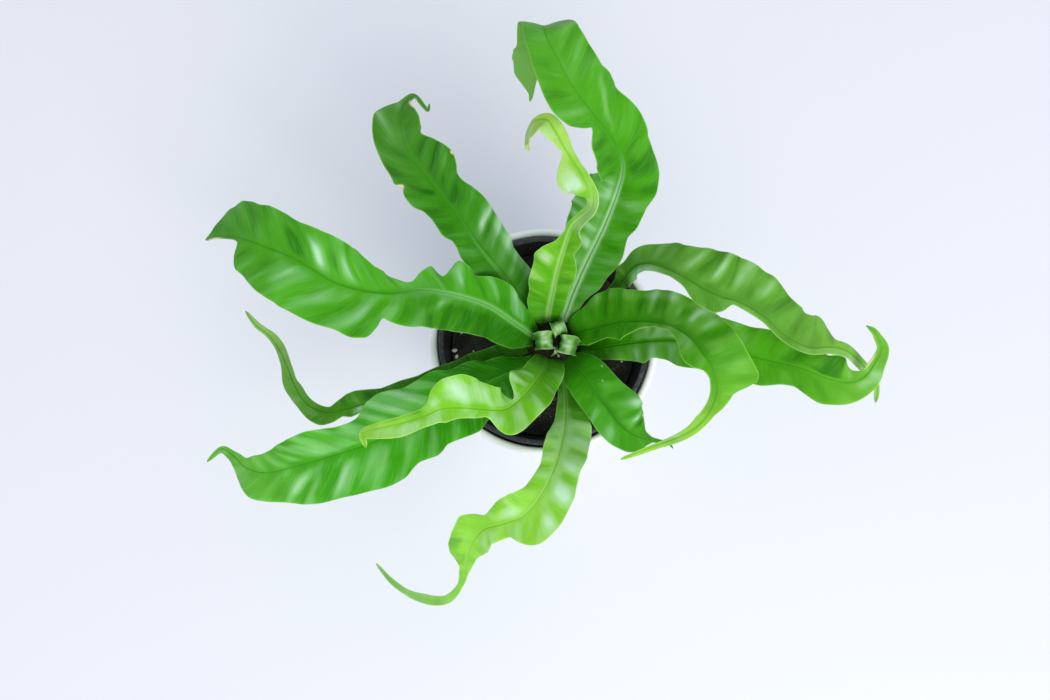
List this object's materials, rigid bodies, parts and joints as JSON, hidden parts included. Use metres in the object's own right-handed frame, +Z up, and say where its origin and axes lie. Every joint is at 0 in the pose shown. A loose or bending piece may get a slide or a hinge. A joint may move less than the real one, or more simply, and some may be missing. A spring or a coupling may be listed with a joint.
{
  "type": "potted fern",
  "caption": "Young bird's-nest fern with long crisped fronds and rolled croziers, in a black nursery pot inside a round white glazed pot.",
  "frame": {"origin": "centre of the white pot's foot, on the surface that the pot stands on", "axes": "+Z up along the pot's axis, +Y towards the top edge of the picture, where the tallest frond leans, and +X to the picture's right"},
  "size_m": [0.2944, 0.2209, 0.2306],
  "materials": {
    "glaze": "gloss",
    "nursery_plastic": "satin",
    "soil": "matte",
    "scales": "matte",
    "frond": "satin",
    "young_frond": "satin",
    "crozier": "satin"
  },
  "bodies": {
    "root": {"pot": "glaze", "nursery_pot": "nursery_plastic", "soil": "soil", "crown": "scales", "frond_north": "frond", "frond_north_young": "young_frond", "frond_northwest": "frond", "frond_west": "frond", "frond_west_low": "frond", "frond_southwest": "frond", "frond_southwest_young": "young_frond", "frond_south": "frond", "frond_southeast": "frond", "frond_east": "frond", "frond_east_low": "frond", "frond_northeast": "frond", "crozier_west": "crozier", "crozier_north": "crozier", "crozier_east": "crozier", "crozier_south": "crozier"}
  },
  "joints": []
}
